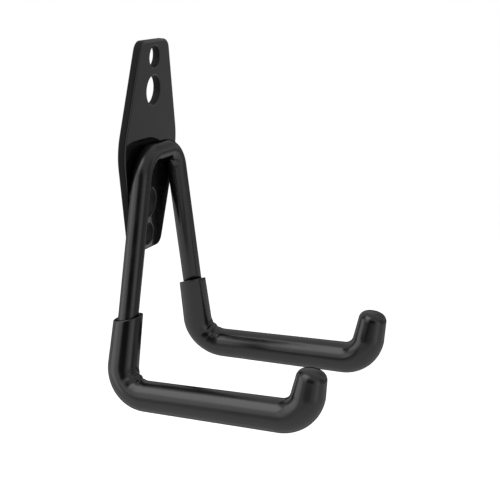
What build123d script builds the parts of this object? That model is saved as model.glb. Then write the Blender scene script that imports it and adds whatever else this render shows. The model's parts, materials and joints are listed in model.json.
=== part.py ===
"""Helmet wall hook: a six-sided steel plate, one bent rod welded across it and a soft sleeve on each arm.

Millimetres and degrees. The origin is the middle of the plate's wall face, +Z is up, and the hook
stands out from the wall towards -Y. Plate and rod mirror across X = 0; the sleeves differ a little,
as they are cut and pushed on by hand.
"""
from build123d import *
import os
from math import atan2, cos, hypot, radians, sin, sqrt, tan

# Wall plate, punched from flat steel
plate_height = 64.5
plate_end_width = 18.0
plate_mid_width = 36.0
plate_thickness = 2.5
plate_end_corner_radius = 3.5
plate_mid_corner_radius = 19.0
plate_front_edge_round = 0.6
plate_wall_edge_chamfer = 0.3

# Screw holes: a small one near each end of the plate and a large one further in
small_hole_diameter = 6.6
small_hole_end_distance = 5.0
large_hole_diameter = 9.0
large_hole_pitch = 10.0
hole_edge_chamfer = 0.3

# Hook rod, one round bar: corner places are where the straight centre lines would cross
rod_diameter = 6.0
cross_bar_height = -1.0
cross_bar_corner_spacing = 20.6
arm_spacing = 57.0
leg_drop = 68.0
arm_length = 57.5
tip_length = 12.6
bend_radius = 8.5
tip_bend_angle = 80.0
rod_pitch = 3.5
rod_end_chamfer = 0.6

# Weld under the cross bar, which also sets the rod a little way down on the plate
weld_set_down = 0.3
weld_bead_radius = 1.5
weld_bead_drop = 0.6
weld_end_margin = 0.6

# Dipped sleeves: the wall thickens from the open mouth along the arm and thins again towards the closed end
sleeve_mouth_diameter = 8.6
sleeve_leg_diameter = 9.2
sleeve_arm_diameter = 9.9
sleeve_tip_diameter = 8.9
sleeve_end_wall = 2.3
sleeve_fit_clearance = 0.05
sleeve_shoulder_radius = 2.6
sleeve_crown_radius = 9.0
sleeve_mouth_round = 0.3
sleeve_mouth_lead_in = 0.4

# How the sleeves sit: pushed on and cut by hand, on the slant, highest on the inner front of the leg
mouth_slant_turn = 55.0
left_leg_reach = 22.5
left_end_clearance = 0.1
left_mouth_slant = 20.0
right_leg_reach = 23.0
right_end_clearance = 1.5
right_mouth_slant = 28.0

rod_radius = rod_diameter / 2
plate_front = -plate_thickness
cross_bar_y = plate_front - rod_radius + weld_set_down
leg_splay = (arm_spacing - cross_bar_corner_spacing) / 2

# The rod's own plane: x across, y up the legs, z forward along the arms
rod_plane = Plane(
    origin=(0, cross_bar_y, cross_bar_height),
    x_dir=(1, 0, 0),
    z_dir=(0, -cos(radians(rod_pitch)), sin(radians(rod_pitch))),
)


def tip_point(side, distance):
    """A point on a tip's centre line, at a distance from the corner where arm and tip cross."""
    rise = distance * sin(radians(tip_bend_angle))
    reach = distance * cos(radians(tip_bend_angle))
    return (side * arm_spacing / 2, rise - leg_drop, arm_length + reach)


def top_corner(side):
    return (side * cross_bar_corner_spacing / 2, 0, 0)


def lower_corner(side):
    return (side * arm_spacing / 2, -leg_drop, 0)


def leg_point(side, distance):
    """A point on a leg's centre line, at a distance up from the lower corner."""
    share = distance / hypot(leg_splay, leg_drop)
    return (side * (arm_spacing / 2 - leg_splay * share), leg_drop * (share - 1), 0)


def section_plane(line, position):
    return Plane(origin=line @ position, z_dir=line % position)


def round_bar(line, radius):
    """A round bar of one radius along a line."""
    return sweep(section_plane(line, 0) * Circle(radius), path=line)


def tapered_bar(line, start_radius, end_radius):
    """A straight round bar that changes radius from its start to its end."""
    from_start = (Align.CENTER, Align.CENTER, Align.MIN)
    return section_plane(line, 0) * Cone(start_radius, end_radius, line.length, align=from_start)


def make_wall_plate():
    half_height = plate_height / 2
    half_end = plate_end_width / 2
    half_mid = plate_mid_width / 2
    end_corners = plate_end_corner_radius
    outline = FilletPolyline(
        (half_end, half_height),
        (half_mid, 0),
        (half_end, -half_height),
        (-half_end, -half_height),
        (-half_mid, 0),
        (-half_end, half_height),
        radius=[end_corners, plate_mid_corner_radius, end_corners] * 2,
        close=True,
    )
    plate = extrude(Plane.XZ * make_face(outline), plate_thickness)
    front = plate.faces().sort_by(Axis.Y)[0]
    plate = fillet(front.edges(), plate_front_edge_round)
    wall = plate.faces().sort_by(Axis.Y)[-1]
    plate = chamfer(wall.edges(), plate_wall_edge_chamfer)

    small_hole_height = half_height - small_hole_end_distance
    large_hole_height = small_hole_height - large_hole_pitch
    holes = [
        (small_hole_diameter, small_hole_height),
        (large_hole_diameter, large_hole_height),
    ]
    for diameter, height in holes:
        for end in (1, -1):
            centre = Plane.XZ * Pos(0, end * height)
            plate -= extrude(centre * Circle(diameter / 2), plate_thickness)
    hole_rims = plate.edges().filter_by(GeomType.CIRCLE).filter_by(lambda rim: rim.is_closed)
    return chamfer(hole_rims, hole_edge_chamfer)


def make_hook_rod():
    path = rod_plane * FilletPolyline(
        tip_point(-1, tip_length),
        tip_point(-1, 0),
        lower_corner(-1),
        top_corner(-1),
        top_corner(1),
        lower_corner(1),
        tip_point(1, 0),
        tip_point(1, tip_length),
        radius=bend_radius,
    )
    rod = round_bar(path, rod_radius)
    rod_ends = rod.faces().filter_by(GeomType.PLANE)
    rod = chamfer(rod_ends.edges(), rod_end_chamfer)
    seat = Plane(origin=(0, plate_front, 0), z_dir=(0, -1, 0))
    return split(rod, bisect_by=seat, keep=Keep.TOP)


def make_weld_bead(plate, rod):
    """A round-backed bead in the corner between the plate and the underside of the cross bar."""
    bend_turn = atan2(leg_drop, leg_splay)
    straight_half = cross_bar_corner_spacing / 2 - bend_radius * tan(bend_turn / 2)
    seat_half = sqrt(rod_radius**2 - (rod_radius - weld_set_down) ** 2)
    centre = Pos(0, plate_front, cross_bar_height - seat_half - weld_bead_drop)
    reach = straight_half - weld_end_margin
    bead = centre * Rot(Y=90) * Cylinder(weld_bead_radius, 2 * reach)
    for side in (1, -1):
        bead += centre * Pos(X=side * reach) * Sphere(weld_bead_radius)
    return bead - plate - rod


def make_sleeve(side, leg_reach, end_clearance, mouth_slant):
    bore_distance = tip_length + end_clearance
    end_distance = bore_distance + sleeve_end_wall
    tip_radius = sleeve_tip_diameter / 2
    shoulder_x = tip_radius - sleeve_shoulder_radius
    crown_rise = sleeve_crown_radius - sleeve_shoulder_radius
    dome_height = sleeve_crown_radius - sqrt(crown_rise**2 - shoulder_x**2)

    spare_length = sleeve_mouth_diameter * tan(radians(mouth_slant)) + sleeve_mouth_lead_in
    start = leg_point(side, leg_reach + spare_length)
    corners = [lower_corner(side), tip_point(side, 0)]
    skin_end = tip_point(side, end_distance - dome_height)
    skin_line = rod_plane * FilletPolyline(start, *corners, skin_end, radius=bend_radius)
    leg_run, lower_bend, arm_run, tip_bend, tip_run = skin_line.edges()
    leg_radius = sleeve_leg_diameter / 2
    arm_radius = sleeve_arm_diameter / 2
    skin = tapered_bar(leg_run, sleeve_mouth_diameter / 2, leg_radius)
    skin += round_bar(lower_bend, leg_radius)
    skin += tapered_bar(arm_run, leg_radius, arm_radius)
    skin += round_bar(tip_bend, arm_radius)
    skin += tapered_bar(tip_run, arm_radius, tip_radius)
    skin += section_plane(tip_run, 1) * closed_end(tip_radius, dome_height)

    bore_end = tip_point(side, bore_distance)
    bore_line = rod_plane * FilletPolyline(start, *corners, bore_end, radius=bend_radius)
    sleeve = skin - round_bar(bore_line, rod_radius + sleeve_fit_clearance)
    down_leg = section_plane(skin_line, 0).z_dir
    inward = down_leg.cross(rod_plane.z_dir) * side
    turn = radians(mouth_slant_turn)
    high_side = rod_plane.z_dir * cos(turn) + inward * sin(turn)
    slant = radians(mouth_slant)
    mouth_plane = Plane(
        origin=rod_plane.from_local_coords(leg_point(side, leg_reach)),
        z_dir=down_leg * cos(slant) + high_side * sin(slant),
    )
    return cut_mouth(sleeve, mouth_plane)


def closed_end(radius, height):
    """The sleeve's flattened dome, turned about its axis: a round shoulder under a wide crown."""
    crown_centre = height - sleeve_crown_radius
    shoulder_x = radius - sleeve_shoulder_radius
    lean = hypot(shoulder_x, crown_centre)
    meet_x = shoulder_x * sleeve_crown_radius / lean
    meet_z = crown_centre - crown_centre * sleeve_crown_radius / lean
    shoulder = TangentArc((radius, 0), (meet_x, meet_z), tangent=(0, 1))
    crown = TangentArc((0, height), (meet_x, meet_z), tangent=(1, 0))
    sides = Polyline((0, height), (0, 0), (radius, 0))
    return revolve(Plane.XZ * make_face([shoulder, crown, sides]), Axis.Z)


def cut_mouth(sleeve, mouth_plane):
    """Cut the sleeve off at its mouth, open the bore with a lead-in and soften the rim."""
    sleeve = split(sleeve, bisect_by=mouth_plane, keep=Keep.TOP)
    bore_rim = mouth_face(sleeve, mouth_plane).inner_wires()[0]
    sleeve = chamfer(bore_rim.edges(), sleeve_mouth_lead_in)
    outer_rim = mouth_face(sleeve, mouth_plane).outer_wire()
    return fillet(outer_rim.edges(), sleeve_mouth_round)


def mouth_face(sleeve, mouth_plane):
    return sleeve.faces().filter_by(GeomType.PLANE).sort_by_distance(mouth_plane.origin)[0]


def main():
    os.makedirs("parts", exist_ok=True)
    plate = make_wall_plate()
    rod = make_hook_rod()
    nodes = {
        "wall_plate": plate,
        "hook_rod": rod,
        "weld_bead": make_weld_bead(plate, rod),
        "left_sleeve": make_sleeve(-1, left_leg_reach, left_end_clearance, left_mouth_slant),
        "right_sleeve": make_sleeve(1, right_leg_reach, right_end_clearance, right_mouth_slant),
    }
    for name, solid in nodes.items():
        export_step(solid, f"parts/{name}.step")


main()
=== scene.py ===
"""Looks of the helmet wall hook: black powder-coated steel, soft black sleeves, a white studio."""
import json
from math import acos, atan2, cos, degrees, exp, hypot, pi, radians, sin, sqrt, tan

import bmesh
import bpy
from mathutils import Matrix, Vector


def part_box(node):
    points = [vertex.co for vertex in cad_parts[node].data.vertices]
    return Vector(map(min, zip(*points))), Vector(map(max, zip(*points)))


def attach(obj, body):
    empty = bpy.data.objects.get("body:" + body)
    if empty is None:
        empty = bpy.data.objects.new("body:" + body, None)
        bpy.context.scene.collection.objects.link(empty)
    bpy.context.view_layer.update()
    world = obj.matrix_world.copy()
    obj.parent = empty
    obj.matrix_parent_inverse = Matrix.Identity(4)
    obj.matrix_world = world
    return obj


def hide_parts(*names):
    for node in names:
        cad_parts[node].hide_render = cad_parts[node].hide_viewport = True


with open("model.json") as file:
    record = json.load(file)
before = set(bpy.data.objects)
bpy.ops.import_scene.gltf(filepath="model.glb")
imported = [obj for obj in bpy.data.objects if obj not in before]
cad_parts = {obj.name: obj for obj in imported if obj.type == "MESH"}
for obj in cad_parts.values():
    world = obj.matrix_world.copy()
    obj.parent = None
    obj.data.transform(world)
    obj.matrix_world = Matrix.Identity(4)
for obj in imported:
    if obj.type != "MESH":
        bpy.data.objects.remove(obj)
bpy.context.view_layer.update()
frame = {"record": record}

MM = 0.001

# Plate sizes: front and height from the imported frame, the rest repeated from the part
plate_low, plate_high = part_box("wall_plate")
PLATE_FRONT = plate_low.y
PLATE_HEIGHT = plate_high.z - plate_low.z
PLATE_END_WIDTH = 18.0 * MM
PLATE_MID_WIDTH = 36.0 * MM
PLATE_END_CORNER = 3.5 * MM
PLATE_MID_CORNER = 19.0 * MM
PLATE_FRONT_ROUND = 0.6 * MM
PLATE_SMALL_ROUND = 0.3 * MM

# Screw holes, from the record's mounts, lowest first: height of the centre and radius
mounts = {mount["name"]: mount for mount in frame["record"]["mounts"]}
SCREW_HOLES = []
for mount_name in ("small_screw_holes", "large_screw_holes"):
    hole_sizes = mounts[mount_name]["dims"]
    for end in (1, -1):
        SCREW_HOLES.append((end * hole_sizes["spacing_y_mm"] * MM / 2, hole_sizes["hole_r_mm"] * MM))
SCREW_HOLES.sort()

# Rod sizes, repeated from the part
ROD_RADIUS = 3.0 * MM
CROSS_BAR_HEIGHT = -1.0 * MM
CROSS_BAR_SPACING = 20.6 * MM
ARM_SPACING = 57.0 * MM
LEG_DROP = 68.0 * MM
ARM_LENGTH = 57.5 * MM
TIP_LENGTH = 12.6 * MM
BEND_RADIUS = 8.5 * MM
TIP_BEND = radians(80.0)
ROD_PITCH = radians(3.5)
ROD_END_CHAMFER = 0.6 * MM

# Weld sizes, repeated from the part, and its ripples
WELD_SET_DOWN = 0.3 * MM
WELD_RADIUS = 1.5 * MM
WELD_DROP = 0.6 * MM
WELD_END_RADIUS = 0.05 * WELD_RADIUS
WELD_RIPPLE_SHARE = 0.06
WELD_RIPPLE_LENGTH = 0.9 * MM

# Sleeve sizes, repeated from the part
SLEEVE_MOUTH_RADIUS = 4.3 * MM
SLEEVE_LEG_RADIUS = 4.6 * MM
SLEEVE_ARM_RADIUS = 4.95 * MM
SLEEVE_TIP_RADIUS = 4.45 * MM
SLEEVE_FIT_CLEARANCE = 0.05 * MM
SLEEVE_BORE_RADIUS = ROD_RADIUS + SLEEVE_FIT_CLEARANCE
SLEEVE_END_WALL = 2.3 * MM
SLEEVE_SHOULDER = 2.6 * MM
SLEEVE_CROWN = 9.0 * MM
MOUTH_ROUND = 0.3 * MM
MOUTH_LEAD_IN = 0.4 * MM
MOUTH_SLANT_TURN = radians(55.0)
MOUTH_SLANT_FADE = 11.0 * MM
LEFT_FIT = {"reach": 22.5 * MM, "end_gap": 0.1 * MM, "slant": radians(20.0)}
RIGHT_FIT = {"reach": 23.0 * MM, "end_gap": 1.5 * MM, "slant": radians(28.0)}

# Folds of the soft skin: degrees from the bend's middle towards the arm, and share of the depth
FOLD_DEPTH = 0.3 * MM
FOLD_SPREAD = 5.0
FOLD_NARROWING = 1.4
FOLDS = [(0, 0.5), (-12, -1.0), (11, -0.8)]

# How finely round things are cut
RING_SIDES = 72
BEND_STEPS = 48
RUN_STEP = 1.0 * MM
PLATE_CORNER_STEPS = 12
HALF_HOLE_STEPS = 24
EDGE_ROUND_STEPS = 6
DOME_STEPS = 14
MOUTH_ROUND_STEPS = 5
WELD_STEPS = 60

# How far apart points may be and still be merged, along a seam and in a finished piece
SEAM_REACH = 0.001 * MM
MERGE_REACH = 0.0005 * MM

# The rod's own plane, as in the part: x across, y up the legs, z forward along the arms
LEG_SPLAY = (ARM_SPACING - CROSS_BAR_SPACING) / 2
LEG_LENGTH = hypot(LEG_SPLAY, LEG_DROP)
TOP_TURN = atan2(LEG_DROP, LEG_SPLAY)
FOOT_TURN = radians(90)
TOP_TANGENT = BEND_RADIUS * tan(TOP_TURN / 2)
TIP_TANGENT = BEND_RADIUS * tan(TIP_BEND / 2)
ARM_RUN = ARM_LENGTH - TIP_TANGENT - BEND_RADIUS
FORWARD = Vector((0, 0, 1))
TIP_UP = Vector((0, sin(TIP_BEND), cos(TIP_BEND)))
ROD_PLACE = Matrix.Translation((0, PLATE_FRONT - ROD_RADIUS + WELD_SET_DOWN, CROSS_BAR_HEIGHT))
ROD_PLANE = ROD_PLACE @ Matrix.Rotation(radians(90) - ROD_PITCH, 4, "X")


def leg_direction(side):
    """Down a leg, from the cross bar to the lower corner, in the rod's plane."""
    return Vector((side * LEG_SPLAY, -LEG_DROP, 0)) / LEG_LENGTH


def lower_corner(side):
    """Where a leg and its arm would cross, in the rod's plane."""
    return Vector((side * ARM_SPACING / 2, -LEG_DROP, 0))


def tip_corner(side):
    """Where an arm and its tip would cross, in the rod's plane."""
    return lower_corner(side) + FORWARD * ARM_LENGTH


# Tools for meshes

def verts_in(geometry):
    return [part for part in geometry if isinstance(part, bmesh.types.BMVert)]


class RoundBar:
    """A round bar grown ring by ring: straight runs, tangent turns and changes of radius."""

    def __init__(self, start, direction, radius):
        self.bm = bmesh.new()
        self.place = Vector(start)
        self.direction = Vector(direction).normalized()
        self.radius = radius
        aim = self.direction.to_track_quat("Z", "Y").to_matrix().to_4x4()
        ring = bmesh.ops.create_circle(
            self.bm, segments=RING_SIDES, radius=radius, matrix=Matrix.Translation(self.place) @ aim)
        self.verts = ring["verts"]

    def ring_edges(self):
        own = set(self.verts)
        return list({edge for v in self.verts for edge in v.link_edges if edge.other_vert(v) in own})

    def step(self, distance, radius):
        """Extrude the end ring along its direction and give it a new radius."""
        grown = bmesh.ops.extrude_edge_only(self.bm, edges=self.ring_edges())
        self.verts = verts_in(grown["geom"])
        self.place = self.place + self.direction * distance
        bmesh.ops.translate(self.bm, vec=self.direction * distance, verts=self.verts)
        share = radius / self.radius
        about = Matrix.Translation(-self.place)
        bmesh.ops.scale(self.bm, vec=(share, share, share), space=about, verts=self.verts)
        self.radius = radius

    def run(self, length, radius=None):
        """A straight run, cut into even steps, that may taper to a new radius."""
        steps = max(1, round(length / RUN_STEP))
        first = self.radius
        last = radius or first
        for i in range(1, steps + 1):
            self.step(length / steps, first + (last - first) * i / steps)

    def turn(self, towards, angle):
        """A tangent bend from the present direction towards another one."""
        side = (towards - self.direction * towards.dot(self.direction)).normalized()
        centre = self.place + side * BEND_RADIUS
        axis = self.direction.cross(side)
        ring = self.verts + self.ring_edges()
        swept = bmesh.ops.spin(
            self.bm, geom=ring, cent=centre, axis=axis, angle=angle, steps=BEND_STEPS)
        self.verts = verts_in(swept["geom_last"])
        spin = Matrix.Rotation(angle, 3, axis)
        self.place = centre + spin @ (self.place - centre)
        self.direction = spin @ self.direction

    def cap(self):
        """Close the end ring with one flat face."""
        bmesh.ops.edgeloop_fill(self.bm, edges=self.ring_edges())

    def point(self):
        """Close the end ring in one point on its axis."""
        bmesh.ops.pointmerge(self.bm, verts=self.verts, merge_co=self.place)


def cut_at_plate(bm):
    """Cut off what lies behind the plate's front and close the cut with a flat face."""
    everything = bm.verts[:] + bm.edges[:] + bm.faces[:]
    cut = bmesh.ops.bisect_plane(
        bm, geom=everything, plane_co=(0, PLATE_FRONT, 0), plane_no=(0, 1, 0), clear_outer=True)
    rim = [part for part in cut["geom_cut"] if isinstance(part, bmesh.types.BMEdge)]
    bmesh.ops.edgeloop_fill(bm, edges=rim)


def finish_piece(bm, name, material, nodes, sharp_angle):
    """Turn a bmesh into a shown piece that stands for CAD nodes and rides with the hook."""
    bmesh.ops.remove_doubles(bm, verts=bm.verts, dist=MERGE_REACH)
    bmesh.ops.recalc_face_normals(bm, faces=bm.faces)
    mesh = bpy.data.meshes.new(name)
    bm.to_mesh(mesh)
    bm.free()
    mesh.materials.append(material)
    mesh.shade_smooth()
    mesh.set_sharp_from_angle(angle=sharp_angle)
    piece = bpy.data.objects.new(name, mesh)
    bpy.context.scene.collection.objects.link(piece)
    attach(piece, "root")
    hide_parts(*nodes)
    return piece


# Tools for materials

SURFACE_IOR = 1.42

# The part of a noise's range that is spread out, for roughness and for tones
CLOUD_RANGE = (0.3, 0.7)
TONE_STOPS = (0.35, 0.65)


def new_material(name):
    """A new material, its node tree and the sockets of its surface."""
    material = bpy.data.materials.new(name)
    material.use_nodes = True
    surface = material.node_tree.nodes["Principled BSDF"].inputs
    surface["IOR"].default_value = SURFACE_IOR
    return material, material.node_tree, surface


def object_noise(tree, scale, detail, roughness):
    """Noise over the object's own coordinates, with its scale in features per metre."""
    place = tree.nodes.new("ShaderNodeTexCoord")
    texture = tree.nodes.new("ShaderNodeTexNoise")
    texture.inputs["Scale"].default_value = scale
    texture.inputs["Detail"].default_value = detail
    texture.inputs["Roughness"].default_value = roughness
    tree.links.new(place.outputs["Object"], texture.inputs["Vector"])
    return texture.outputs["Fac"]


def map_range(tree, value, low, high, start, end, blend="LINEAR"):
    """Turn a value that goes from low to high into one that goes from start to end."""
    spread = tree.nodes.new("ShaderNodeMapRange")
    spread.interpolation_type = blend
    spread.inputs["From Min"].default_value = low
    spread.inputs["From Max"].default_value = high
    spread.inputs["To Min"].default_value = start
    spread.inputs["To Max"].default_value = end
    tree.links.new(value, spread.inputs["Value"])
    return spread.outputs["Result"]


def math_node(tree, operation, first, second):
    """One sum on two values, each either a plain number or another node's output."""
    node = tree.nodes.new("ShaderNodeMath")
    node.operation = operation
    for socket, value in zip(node.inputs, (first, second)):
        if isinstance(value, (int, float)):
            socket.default_value = value
        else:
            tree.links.new(value, socket)
    return node.outputs[0]


def two_tone(tree, cloud, dark, light):
    """A colour that drifts between two tones with a cloud of noise."""
    ramp = tree.nodes.new("ShaderNodeValToRGB")
    for stop, position, tone in zip(ramp.color_ramp.elements, TONE_STOPS, (dark, light)):
        stop.position = position
        stop.color = (*tone, 1)
    tree.links.new(cloud, ramp.inputs["Fac"])
    return ramp.outputs["Color"]


def bump(tree, height, strength, distance, under=None):
    """Fine relief from a height, laid over another bump if there is one under it."""
    node = tree.nodes.new("ShaderNodeBump")
    node.inputs["Strength"].default_value = strength
    node.inputs["Distance"].default_value = distance
    tree.links.new(height, node.inputs["Height"])
    if under:
        tree.links.new(under, node.inputs["Normal"])
    return node.outputs["Normal"]


# Finishes

COAT_TONES = ((0.003, 0.003, 0.0032), (0.006, 0.006, 0.0062))
PLASTIC_TONES = ((0.0035, 0.0035, 0.0035), (0.0065, 0.0065, 0.0065))
PLASTIC_ROUGHNESS = (0.19, 0.25)

# How far a surface has turned edge-on where its gloss starts to fade and where it is gone
RIM_FADE = (0.3, 0.75)


def powder_coat(name, roughness, shine):
    """Black powder coat: a fine orange-peel skin, a little uneven in its roughness."""
    material, tree, surface = new_material(name)
    cloud = object_noise(tree, scale=120, detail=3, roughness=0.5)
    peel = object_noise(tree, scale=1500, detail=2, roughness=0.5)
    skin = bump(tree, peel, strength=0.12, distance=0.03 * MM)
    tree.links.new(two_tone(tree, cloud, *COAT_TONES), surface["Base Color"])
    tree.links.new(map_range(tree, cloud, *CLOUD_RANGE, *roughness), surface["Roughness"])
    tree.links.new(skin, surface["Normal"])
    surface["Specular IOR Level"].default_value = shine
    return material


def sleeve_plastic():
    """Soft black dipped plastic: semi-gloss, faintly wavy, with a very fine grain."""
    material, tree, surface = new_material("black_dipped_plastic")
    cloud = object_noise(tree, scale=90, detail=3, roughness=0.5)
    waves = object_noise(tree, scale=220, detail=1, roughness=0.4)
    grain = object_noise(tree, scale=4000, detail=2, roughness=0.5)
    wavy = bump(tree, waves, strength=0.15, distance=0.15 * MM)
    skin = bump(tree, grain, strength=0.1, distance=0.01 * MM, under=wavy)
    tree.links.new(two_tone(tree, cloud, *PLASTIC_TONES), surface["Base Color"])
    tree.links.new(map_range(tree, cloud, *CLOUD_RANGE, *PLASTIC_ROUGHNESS), surface["Roughness"])
    tree.links.new(skin, surface["Normal"])
    return material


def fade_rim_gloss(material):
    """Let the gloss die away where a surface turns edge-on, as on a fine-textured skin."""
    tree = material.node_tree
    shine = tree.nodes["Principled BSDF"].inputs["Specular IOR Level"]
    edge_on = tree.nodes.new("ShaderNodeLayerWeight")
    fade = map_range(tree, edge_on.outputs["Facing"], *RIM_FADE, shine.default_value, 0.0)
    tree.links.new(fade, shine)
    return material


# Wall plate: what counts as a punched edge, a hole's rim, a front or back face and a flat one

PUNCHED_EDGE_ANGLE = radians(60)
HOLE_RIM_REACH = 1.05
FACE_NORMAL_SHARE = 0.6
FLAT_FACE_AREA = (20 * MM) ** 2


def rounded_half_outline(bm):
    """Half the plate's outline, top middle to bottom middle, with its corners as true arcs."""
    half = PLATE_HEIGHT / 2
    corners = [
        (Vector((PLATE_END_WIDTH / 2, 0, half)), PLATE_END_CORNER),
        (Vector((PLATE_MID_WIDTH / 2, 0, 0)), PLATE_MID_CORNER),
        (Vector((PLATE_END_WIDTH / 2, 0, -half)), PLATE_END_CORNER),
    ]
    places = [Vector((0, 0, half))] + [corner for corner, radius in corners] + [Vector((0, 0, -half))]
    chain = [bm.verts.new(places[0])]
    for i, (corner, radius) in enumerate(corners):
        before = (places[i] - corner).normalized()
        after = (places[i + 2] - corner).normalized()
        opening = before.angle(after)
        start = corner + before * radius / tan(opening / 2)
        centre = corner + (before + after).normalized() * radius / sin(opening / 2)
        first = bm.verts.new(start)
        bm.edges.new((chain[-1], first))
        swept = bmesh.ops.spin(
            bm, geom=[first], cent=centre, axis=(0, 1, 0), angle=pi - opening, steps=PLATE_CORNER_STEPS)
        chain += [first, verts_in(swept["geom_last"])[0]]
    last = bm.verts.new(places[-1])
    bm.edges.new((chain[-1], last))
    return chain[0], last


def half_round_notches(bm, top, bottom):
    """The middle line from the bottom up, with half of each screw hole cut into it."""
    below = bottom
    for height, radius in SCREW_HOLES:
        start = bm.verts.new((0, 0, height - radius))
        bm.edges.new((below, start))
        swept = bmesh.ops.spin(
            bm, geom=[start], cent=(0, 0, height), axis=(0, 1, 0), angle=-pi, steps=HALF_HOLE_STEPS)
        below = verts_in(swept["geom_last"])[0]
    bm.edges.new((below, top))


def round_plate_edges(bm):
    """Soften the punched edges: the front's outline more than the wall side and the holes' rims."""
    front_outline = []
    other_rims = []
    for edge in bm.edges:
        if len(edge.link_faces) != 2 or edge.calc_face_angle() < PUNCHED_EDGE_ANGLE:
            continue
        middle = (edge.verts[0].co + edge.verts[1].co) / 2
        on_hole = any(
            hypot(middle.x, middle.z - height) < radius * HOLE_RIM_REACH for height, radius in SCREW_HOLES)
        if middle.y < PLATE_FRONT / 2 and not on_hole:
            front_outline.append(edge)
        else:
            other_rims.append(edge)
    for width, edges in ((PLATE_FRONT_ROUND, front_outline), (PLATE_SMALL_ROUND, other_rims)):
        bmesh.ops.bevel(
            bm, geom=edges, offset=width, offset_type="OFFSET", affect="EDGES",
            segments=EDGE_ROUND_STEPS, profile=0.5, material=-1)


def build_plate(face_coat, edge_coat):
    """The plate, with a thin dry coat on its punched edges and in its holes."""
    bm = bmesh.new()
    top, bottom = rounded_half_outline(bm)
    half_round_notches(bm, top, bottom)
    bmesh.ops.edgeloop_fill(bm, edges=bm.edges)
    bmesh.ops.mirror(bm, geom=bm.verts[:] + bm.edges[:] + bm.faces[:], axis="X", merge_dist=SEAM_REACH)
    grown = bmesh.ops.extrude_face_region(bm, geom=bm.faces[:])
    bmesh.ops.translate(bm, vec=(0, PLATE_FRONT, 0), verts=verts_in(grown["geom"]))
    bmesh.ops.recalc_face_normals(bm, faces=bm.faces)
    round_plate_edges(bm)
    for face in bm.faces:
        face.material_index = 1 if abs(face.normal.y) < FACE_NORMAL_SHARE else 0
    plate = finish_piece(
        bm, "coated_plate", face_coat, ["wall_plate"], sharp_angle=radians(35))
    plate.data.materials.append(edge_coat)
    for face in plate.data.polygons:
        if face.area > FLAT_FACE_AREA:
            face.use_smooth = False


# Hook rod

def build_rod(material):
    """The rod, bent along its path from the left tip to the right one."""
    left, right = -1, 1
    tip_run = TIP_LENGTH - ROD_END_CHAMFER - TIP_TANGENT
    leg_run = LEG_LENGTH - BEND_RADIUS - TOP_TANGENT
    bar = RoundBar(tip_corner(left) + TIP_UP * TIP_LENGTH, -TIP_UP, ROD_RADIUS - ROD_END_CHAMFER)
    bar.cap()
    bar.step(ROD_END_CHAMFER, ROD_RADIUS)
    bar.run(tip_run)
    bar.turn(-FORWARD, TIP_BEND)
    bar.run(ARM_RUN)
    bar.turn(-leg_direction(left), FOOT_TURN)
    bar.run(leg_run)
    bar.turn(Vector((1, 0, 0)), TOP_TURN)
    bar.run(CROSS_BAR_SPACING - 2 * TOP_TANGENT)
    bar.turn(leg_direction(right), TOP_TURN)
    bar.run(leg_run)
    bar.turn(FORWARD, FOOT_TURN)
    bar.run(ARM_RUN)
    bar.turn(TIP_UP, TIP_BEND)
    bar.run(tip_run)
    bar.step(ROD_END_CHAMFER, ROD_RADIUS - ROD_END_CHAMFER)
    bar.cap()
    bmesh.ops.transform(bar.bm, matrix=ROD_PLANE, verts=bar.bm.verts)
    cut_at_plate(bar.bm)
    finish_piece(bar.bm, "coated_rod", material, ["hook_rod"], sharp_angle=radians(18))


# Weld

def build_weld(material):
    """A short rippled bead in the corner under the cross bar."""
    low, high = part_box("weld_bead")
    length = high.x - low.x
    reach = length / 2 - WELD_RADIUS
    seat_half = sqrt(ROD_RADIUS ** 2 - (ROD_RADIUS - WELD_SET_DOWN) ** 2)
    height = CROSS_BAR_HEIGHT - seat_half - WELD_DROP
    bar = RoundBar((-length / 2, PLATE_FRONT, height), (1, 0, 0), WELD_END_RADIUS)
    bar.cap()
    for i in range(1, WELD_STEPS):
        along = -length / 2 + length * i / WELD_STEPS
        past = max(0, abs(along) - reach)
        radius = sqrt(max(WELD_RADIUS ** 2 - past ** 2, WELD_END_RADIUS ** 2))
        ripple = 1 - WELD_RIPPLE_SHARE * abs(sin(along / WELD_RIPPLE_LENGTH))
        bar.step(length / WELD_STEPS, radius * ripple)
    bar.cap()
    cut_at_plate(bar.bm)
    finish_piece(bar.bm, "coated_weld", material, ["weld_bead"], sharp_angle=radians(40))


# Soft sleeves

def dome_profile():
    """The closed end's height, and its steps from the rim up: height above the rim and radius."""
    shoulder_x = SLEEVE_TIP_RADIUS - SLEEVE_SHOULDER
    drop = sqrt((SLEEVE_CROWN - SLEEVE_SHOULDER) ** 2 - shoulder_x ** 2)
    meet = acos(shoulder_x / (SLEEVE_CROWN - SLEEVE_SHOULDER))
    profile = []
    for i in range(1, DOME_STEPS + 1):
        lift = meet * i / DOME_STEPS
        profile.append((SLEEVE_SHOULDER * sin(lift), shoulder_x + SLEEVE_SHOULDER * cos(lift)))
    for i in range(1, DOME_STEPS):
        lift = meet + (pi / 2 - meet) * i / DOME_STEPS
        profile.append((SLEEVE_CROWN * sin(lift) - drop, SLEEVE_CROWN * cos(lift)))
    return SLEEVE_CROWN - drop, profile


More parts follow.
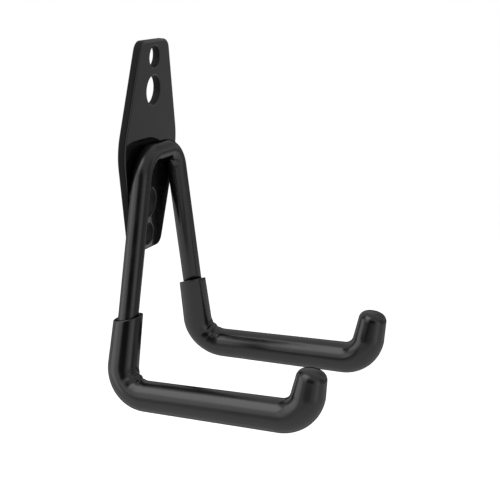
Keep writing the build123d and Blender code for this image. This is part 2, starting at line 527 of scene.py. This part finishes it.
def slant_mouth(bm, side, fit):
    """Lean the cut mouth, highest on the leg's inner front, and let the lean die away down the leg."""
    down = leg_direction(side)
    inward = down.cross(FORWARD) * side
    high_side = FORWARD * cos(MOUTH_SLANT_TURN) + inward * sin(MOUTH_SLANT_TURN)
    mouth = lower_corner(side) - down * fit["reach"]
    leg_front = 1.1 * SLEEVE_LEG_RADIUS
    rings = {}
    for vert in bm.verts:
        below = (vert.co - mouth).dot(down)
        if below < MOUTH_SLANT_FADE and vert.co.z < leg_front:
            rings.setdefault(round(below / MM, 3), []).append(vert)
    for below, verts in rings.items():
        lean = tan(fit["slant"]) * (1 - max(0, below * MM) / MOUTH_SLANT_FADE)
        shear = Matrix.Identity(4)
        for row in range(3):
            for column in range(3):
                shear[row][column] -= lean * down[row] * high_side[column]
        bmesh.ops.transform(bm, matrix=shear, space=Matrix.Translation(-mouth), verts=verts)


def fold_bend(bm, side):
    """Pinch the soft skin on the inside of the lower bend into a fold with a groove on each side."""
    down = leg_direction(side)
    centre = lower_corner(side) + (FORWARD - down) * BEND_RADIUS
    middle_turn = degrees(FOOT_TURN) / 2
    for vert in bm.verts:
        out = vert.co - centre
        behind = -out.dot(FORWARD)
        below = out.dot(down)
        if behind < 0 or below < 0:
            continue
        angle = atan2(below, behind)
        inward = FORWARD * cos(angle) - down * sin(angle)
        skin = out + inward * BEND_RADIUS
        if skin.length < SLEEVE_MOUTH_RADIUS:
            continue
        share = max(0, skin.normalized().dot(inward)) ** FOLD_NARROWING
        turn = degrees(angle) - middle_turn
        rise = sum(height * exp(-((turn - place) / FOLD_SPREAD) ** 2) for place, height in FOLDS)
        vert.co += skin.normalized() * FOLD_DEPTH * rise * share


def build_sleeve(side, name, node, material, fit):
    """One sleeve, grown from the closed end of its bore out to the mouth and back over the outside."""
    dome_height, dome = dome_profile()
    bore_end = TIP_LENGTH + fit["end_gap"]
    leg_run = fit["reach"] - BEND_RADIUS

    # Inside, from the closed end of the bore up to the mouth
    bar = RoundBar(tip_corner(side) + TIP_UP * bore_end, -TIP_UP, SLEEVE_BORE_RADIUS)
    bar.cap()
    bar.run(bore_end - TIP_TANGENT)
    bar.turn(-FORWARD, TIP_BEND)
    bar.run(ARM_RUN)
    bar.turn(-leg_direction(side), FOOT_TURN)
    bar.run(leg_run - MOUTH_LEAD_IN)
    bar.step(MOUTH_LEAD_IN, SLEEVE_BORE_RADIUS + MOUTH_LEAD_IN)

    # The cut rim, rounded on its outer edge
    bar.step(0, SLEEVE_MOUTH_RADIUS - MOUTH_ROUND)
    for i in range(1, MOUTH_ROUND_STEPS + 1):
        sweep = pi / 2 * i / MOUTH_ROUND_STEPS
        before = pi / 2 * (i - 1) / MOUTH_ROUND_STEPS
        fall = MOUTH_ROUND * (cos(sweep) - cos(before))
        bar.step(fall, SLEEVE_MOUTH_RADIUS - MOUTH_ROUND * (1 - sin(sweep)))

    # Outside, back down the leg, along the arm and up to the closed end
    bar.direction = leg_direction(side)
    bar.run(leg_run - MOUTH_ROUND, SLEEVE_LEG_RADIUS)
    bar.turn(FORWARD, FOOT_TURN)
    bar.run(ARM_RUN, SLEEVE_ARM_RADIUS)
    bar.turn(TIP_UP, TIP_BEND)
    bar.run(bore_end + SLEEVE_END_WALL - dome_height - TIP_TANGENT, SLEEVE_TIP_RADIUS)
    risen = 0
    for height, radius in dome:
        bar.step(height - risen, radius)
        risen = height
    bar.place = bar.place + bar.direction * (dome_height - risen)
    bar.point()

    slant_mouth(bar.bm, side, fit)
    fold_bend(bar.bm, side)
    bmesh.ops.transform(bar.bm, matrix=ROD_PLANE, verts=bar.bm.verts)
    finish_piece(bar.bm, name, material, [node], sharp_angle=radians(40))


# Studio, with its angles in degrees

CAMERA_AZIMUTH = -68.547
CAMERA_ELEVATION = 14.473
CAMERA_ROLL = 3.271
CAMERA_TARGET = Vector((16.607, -30.0, -32.055)) * MM
CAMERA_DISTANCE = 395.821 * MM
CAMERA_LENS = 90.519
CAMERA_SENSOR = 36
CAMERA_CLIP = 0.01
FLOOR_HEIGHT = -200 * MM
FLOOR_RADIUS = 0.6
FLOOR_SET_BACK = 0.3
FLOOR_GREY = 0.85
FLOOR_ROUGHNESS = 0.9
FLOOR_GLOW = 0.54
TENT_LIGHT = 0.35
LAMP_DISTANCE = 1.5
LAMP_TARGET = Vector((0, -0.03, -0.03))
WHITE = (1, 1, 1, 1)


def studio_direction(azimuth, elevation):
    """A direction in the studio, by its angle to the right of the camera and its height."""
    turn = radians(CAMERA_AZIMUTH + azimuth)
    level = cos(radians(elevation))
    return Vector((sin(turn) * level, -cos(turn) * level, sin(radians(elevation))))


def add_camera():
    """The camera, at the photo's viewing angle."""
    back = studio_direction(0, CAMERA_ELEVATION)
    level_right = studio_direction(90, 0)
    roll = Matrix.Rotation(radians(CAMERA_ROLL), 3, back)
    right = roll @ level_right
    up = roll @ back.cross(level_right)
    camera = bpy.data.objects.new("camera", bpy.data.cameras.new("camera"))
    bpy.context.scene.collection.objects.link(camera)
    camera.data.sensor_width = CAMERA_SENSOR
    camera.data.lens = CAMERA_LENS
    camera.data.clip_start = CAMERA_CLIP
    aim = Matrix((right, up, back)).transposed().to_4x4()
    camera.matrix_world = Matrix.Translation(CAMERA_TARGET + back * CAMERA_DISTANCE) @ aim
    bpy.context.scene.camera = camera


def add_softbox(name, azimuth, elevation, width, height, watts):
    """A rectangular lamp, turned towards the hook."""
    light = bpy.data.lights.new(name, "AREA")
    light.shape = "RECTANGLE"
    light.size = width
    light.size_y = height
    light.energy = watts
    lamp = bpy.data.objects.new(name, light)
    bpy.context.scene.collection.objects.link(lamp)
    place = LAMP_TARGET + studio_direction(azimuth, elevation) * LAMP_DISTANCE
    aim = (LAMP_TARGET - place).to_track_quat("-Z", "Y").to_matrix().to_4x4()
    lamp.matrix_world = Matrix.Translation(place) @ aim


def seen_rays(tree):
    """One for rays of the camera, of reflections and through glass, nothing for rays of light."""
    path = tree.nodes.new("ShaderNodeLightPath").outputs
    mirrored = math_node(tree, "MAXIMUM", path["Is Glossy Ray"], path["Is Transmission Ray"])
    return math_node(tree, "MAXIMUM", path["Is Camera Ray"], mirrored)


def add_floor():
    """A white disc under and behind the hook, which glows enough to look white."""
    bm = bmesh.new()
    bmesh.ops.create_circle(bm, cap_ends=True, segments=96, radius=FLOOR_RADIUS)
    place = studio_direction(180, 0) * FLOOR_SET_BACK + Vector((0, 0, FLOOR_HEIGHT))
    bmesh.ops.translate(bm, vec=place, verts=bm.verts)
    bmesh.ops.recalc_face_normals(bm, faces=bm.faces)
    mesh = bpy.data.meshes.new("floor")
    bm.to_mesh(mesh)
    bm.free()
    material, tree, surface = new_material("white_floor")
    surface["Base Color"].default_value = (FLOOR_GREY, FLOOR_GREY, FLOOR_GREY, 1)
    surface["Roughness"].default_value = FLOOR_ROUGHNESS
    surface["Emission Color"].default_value = WHITE
    glow = math_node(tree, "MULTIPLY", seen_rays(tree), FLOOR_GLOW)
    tree.links.new(glow, surface["Emission Strength"])
    mesh.materials.append(material)
    floor = bpy.data.objects.new("floor", mesh)
    bpy.context.scene.collection.objects.link(floor)


def world_direction(tree, towards):
    """How far a world direction turns towards another one: the cosine of the angle between them."""
    place = tree.nodes.new("ShaderNodeTexCoord")
    facing = tree.nodes.new("ShaderNodeVectorMath")
    facing.operation = "DOT_PRODUCT"
    facing.inputs[1].default_value = towards
    tree.links.new(place.outputs["Object"], facing.inputs[0])
    return facing.outputs["Value"]


def dark_patch(tree, azimuth, elevation, inner, outer, depth):
    """The light that a soft round patch takes from the tent: its depth inside, nothing outside."""
    facing = world_direction(tree, studio_direction(azimuth, elevation))
    rim, core = cos(radians(outer)), cos(radians(inner))
    return map_range(tree, facing, rim, core, 0.0, depth, blend="SMOOTHSTEP")


def add_world():
    """A white tent with a dark open front and shaded parts: white to the eye, softer as a light."""
    world = bpy.data.worlds.new("studio")
    bpy.context.scene.world = world
    world.use_nodes = True
    tree = world.node_tree
    height = world_direction(tree, (0, 0, 1))
    front = dark_patch(tree, azimuth=-12, elevation=8, inner=24, outer=38, depth=0.96)
    side = dark_patch(tree, azimuth=80, elevation=10, inner=12, outer=32, depth=0.5)
    corner = dark_patch(tree, azimuth=132, elevation=-14, inner=25, outer=48, depth=0.6)
    back = dark_patch(tree, azimuth=145, elevation=25, inner=10, outer=26, depth=0.45)
    paler_below = map_range(tree, height, low=-0.22, high=0.1, start=0.55, end=1.0, blend="SMOOTHSTEP")
    front = math_node(tree, "MULTIPLY", front, paler_below)
    only_below = map_range(tree, height, low=-0.1, high=0.15, start=1.0, end=0.0, blend="SMOOTHSTEP")
    corner = math_node(tree, "MULTIPLY", corner, only_below)
    shade = front
    for patch in (side, corner, back):
        shade = math_node(tree, "MAXIMUM", shade, patch)
    tent = math_node(tree, "SUBTRACT", 1.0, shade)
    path = tree.nodes.new("ShaderNodeLightPath")
    white = math_node(tree, "MAXIMUM", tent, path.outputs["Is Camera Ray"])
    strength = tree.nodes.new("ShaderNodeMix")
    strength.inputs["A"].default_value = TENT_LIGHT
    tree.links.new(white, strength.inputs["B"])
    tree.links.new(seen_rays(tree), strength.inputs["Factor"])
    background = tree.nodes["Background"]
    background.inputs["Color"].default_value = WHITE
    tree.links.new(strength.outputs["Result"], background.inputs["Strength"])


def add_studio():
    add_camera()
    add_floor()
    add_world()
    add_softbox("overhead_softbox", azimuth=-64, elevation=54, width=1.1, height=1.1, watts=11.2)
    add_softbox("left_softbox", azimuth=-82, elevation=4, width=1.1, height=1.3, watts=7.0)
    add_softbox("fill_softbox", azimuth=-46, elevation=18, width=0.66, height=0.92, watts=2.4)
    add_softbox("right_softbox", azimuth=48, elevation=-2, width=0.7, height=1.1, watts=1.9)
    bpy.context.scene.view_settings.view_transform = "Standard"


plate_coat = powder_coat("black_plate_coat", roughness=(0.08, 0.13), shine=0.5)
dry_coat = powder_coat("thin_dry_coat", roughness=(0.55, 0.65), shine=0.15)
rod_coat = fade_rim_gloss(powder_coat("black_rod_coat", roughness=(0.22, 0.29), shine=0.5))
plastic = fade_rim_gloss(sleeve_plastic())
build_plate(plate_coat, dry_coat)
build_rod(rod_coat)
build_weld(rod_coat)
build_sleeve(-1, "soft_sleeve_left", "left_sleeve", plastic, LEFT_FIT)
build_sleeve(1, "soft_sleeve_right", "right_sleeve", plastic, RIGHT_FIT)
add_studio()
